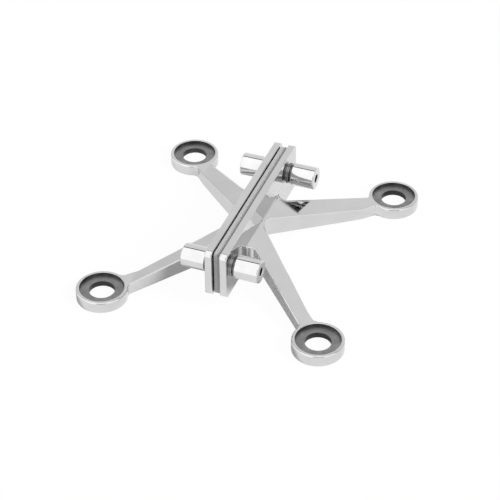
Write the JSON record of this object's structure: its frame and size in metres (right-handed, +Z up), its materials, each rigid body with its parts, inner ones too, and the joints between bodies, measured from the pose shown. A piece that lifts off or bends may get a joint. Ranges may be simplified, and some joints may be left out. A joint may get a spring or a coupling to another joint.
{
  "type": "glass spider fitting",
  "caption": "Spider clamp for point-fixed glass: paired cast plates with tapering ring-ended arms, drawn together over gaskets by hex-socket barrel bolts.",
  "frame": {"origin": "middle of the clamp seen from above, level with the undersides of the four rings, which the fitting rests on", "axes": "+X across the clamp plates, from the bolt heads to the barrel nuts; +Y along the plates, away from the viewer; +Z up, out of the recesses of the rings that show"},
  "size_m": [0.2704, 0.2884, 0.066],
  "materials": {
    "cast_steel": "stainless steel casting, machine-polished to a satin mirror",
    "turned_steel": "turned stainless steel, bright polished",
    "washer_steel": "stamped stainless steel, satin",
    "gasket_sheet": "light grey fibre-filled gasket sheet, matte"
  },
  "bodies": {
    "right_half": {"casting_right": "cast_steel", "gasket_right": "gasket_sheet", "gasket_left": "gasket_sheet", "washer_right_near": "washer_steel", "washer_right_far": "washer_steel"},
    "left_half": {"casting_left": "cast_steel", "bolt_near": "turned_steel", "bolt_far": "turned_steel", "washer_left_near": "washer_steel", "washer_left_far": "washer_steel"},
    "barrel_nut_near": {"nut_near": "turned_steel"},
    "barrel_nut_far": {"nut_far": "turned_steel"}
  },
  "joints": [
    {"name": "draw_clamp", "type": "slide", "parent": "right_half", "child": "left_half", "axis": [1, 0, 0], "range_m": [-0.011, 0.0009]},
    {"name": "turn_nut_near", "type": "hinge", "parent": "right_half", "child": "barrel_nut_near", "pos_m": [0, -0.0795, 0.0425], "axis": [1, 0, 0], "range_deg": [-186, 2264]},
    {"name": "turn_nut_far", "type": "hinge", "parent": "right_half", "child": "barrel_nut_far", "pos_m": [0, 0.0795, 0.0425], "axis": [1, 0, 0], "range_deg": [-186, 2264]}
  ],
  "couplings": [
    {"joint": "turn_nut_near", "follows": "draw_clamp", "rad_per_m": -3590.4},
    {"joint": "turn_nut_far", "follows": "draw_clamp", "rad_per_m": -3590.4}
  ]
}
